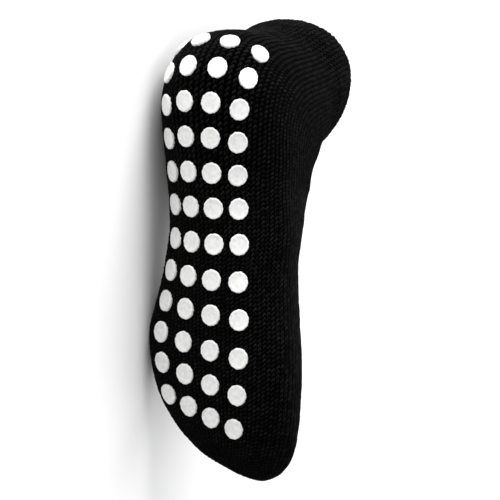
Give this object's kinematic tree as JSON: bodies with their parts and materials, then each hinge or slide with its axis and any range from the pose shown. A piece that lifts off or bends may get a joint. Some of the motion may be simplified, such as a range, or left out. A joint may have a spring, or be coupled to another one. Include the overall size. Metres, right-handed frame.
{
  "type": "slipper sock",
  "caption": "Left slipper sock in chunky plain knit with a turned cuff welt and straight rows of plain oval printed grips under the sole.",
  "frame": {"origin": "middle of the bounding box's underside, on the floor that the outer side of the sock lies on", "axes": "+X from heel to toe, +Y from the sole to the cuff, +Z from the outer to the inner side of the foot"},
  "size_m": [0.2658, 0.1284, 0.0967],
  "materials": {
    "knit": "matte plain knit of thick black yarn",
    "grip": "white satin print"
  },
  "bodies": {
    "root": {"knit_sock": "knit", "grip_r01_c1": "grip", "grip_r01_c2": "grip", "grip_r01_c3": "grip", "grip_r01_c4": "grip", "grip_r02_c1": "grip", "grip_r02_c2": "grip", "grip_r02_c3": "grip", "grip_r02_c4": "grip", "grip_r03_c1": "grip", "grip_r03_c2": "grip", "grip_r03_c3": "grip", "grip_r03_c4": "grip", "grip_r04_c1": "grip", "grip_r04_c2": "grip", "grip_r04_c3": "grip", "grip_r04_c4": "grip", "grip_r05_c1": "grip", "grip_r05_c2": "grip", "grip_r05_c3": "grip", "grip_r05_c4": "grip", "grip_r06_c1": "grip", "grip_r06_c2": "grip", "grip_r06_c3": "grip", "grip_r06_c4": "grip", "grip_r07_c1": "grip", "grip_r07_c2": "grip", "grip_r07_c3": "grip", "grip_r07_c4": "grip", "grip_r08_c1": "grip", "grip_r08_c2": "grip", "grip_r08_c3": "grip", "grip_r08_c4": "grip", "grip_r09_c1": "grip", "grip_r09_c2": "grip", "grip_r09_c3": "grip", "grip_r09_c4": "grip", "grip_r10_c1": "grip", "grip_r10_c2": "grip", "grip_r10_c3": "grip", "grip_r10_c4": "grip", "grip_r11_c1": "grip", "grip_r11_c2": "grip", "grip_r11_c3": "grip", "grip_r11_c4": "grip", "grip_r12_c1": "grip", "grip_r12_c2": "grip", "grip_r12_c3": "grip", "grip_r12_c4": "grip"}
  },
  "joints": []
}
